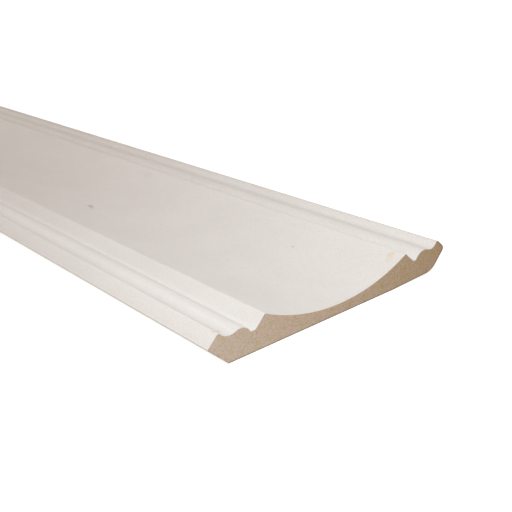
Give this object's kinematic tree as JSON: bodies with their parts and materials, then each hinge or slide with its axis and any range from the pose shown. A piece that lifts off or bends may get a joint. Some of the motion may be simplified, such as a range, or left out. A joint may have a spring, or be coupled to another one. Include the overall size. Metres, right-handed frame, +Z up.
{
  "type": "cornice moulding",
  "caption": "Primed white fibreboard cornice moulding, a broad shallow cove between small beads, quirks and lips, with bevelled edges that seat on wall and ceiling and square sawn ends",
  "frame": {"origin": "middle of the length and of the overall width, on the plane of the flat back", "axes": "+X runs along the length toward the pictured sawn end, +Y across the face from the wall edge to the ceiling edge, +Z up from the back to the face"},
  "size_m": [2.4384, 0.1334, 0.0143],
  "materials": {
    "primed_fibreboard": "matt white primer on the face, raw tan board on the sawn ends, bevels and back"
  },
  "bodies": {
    "root": {"cornice_moulding": "primed_fibreboard"}
  },
  "joints": []
}
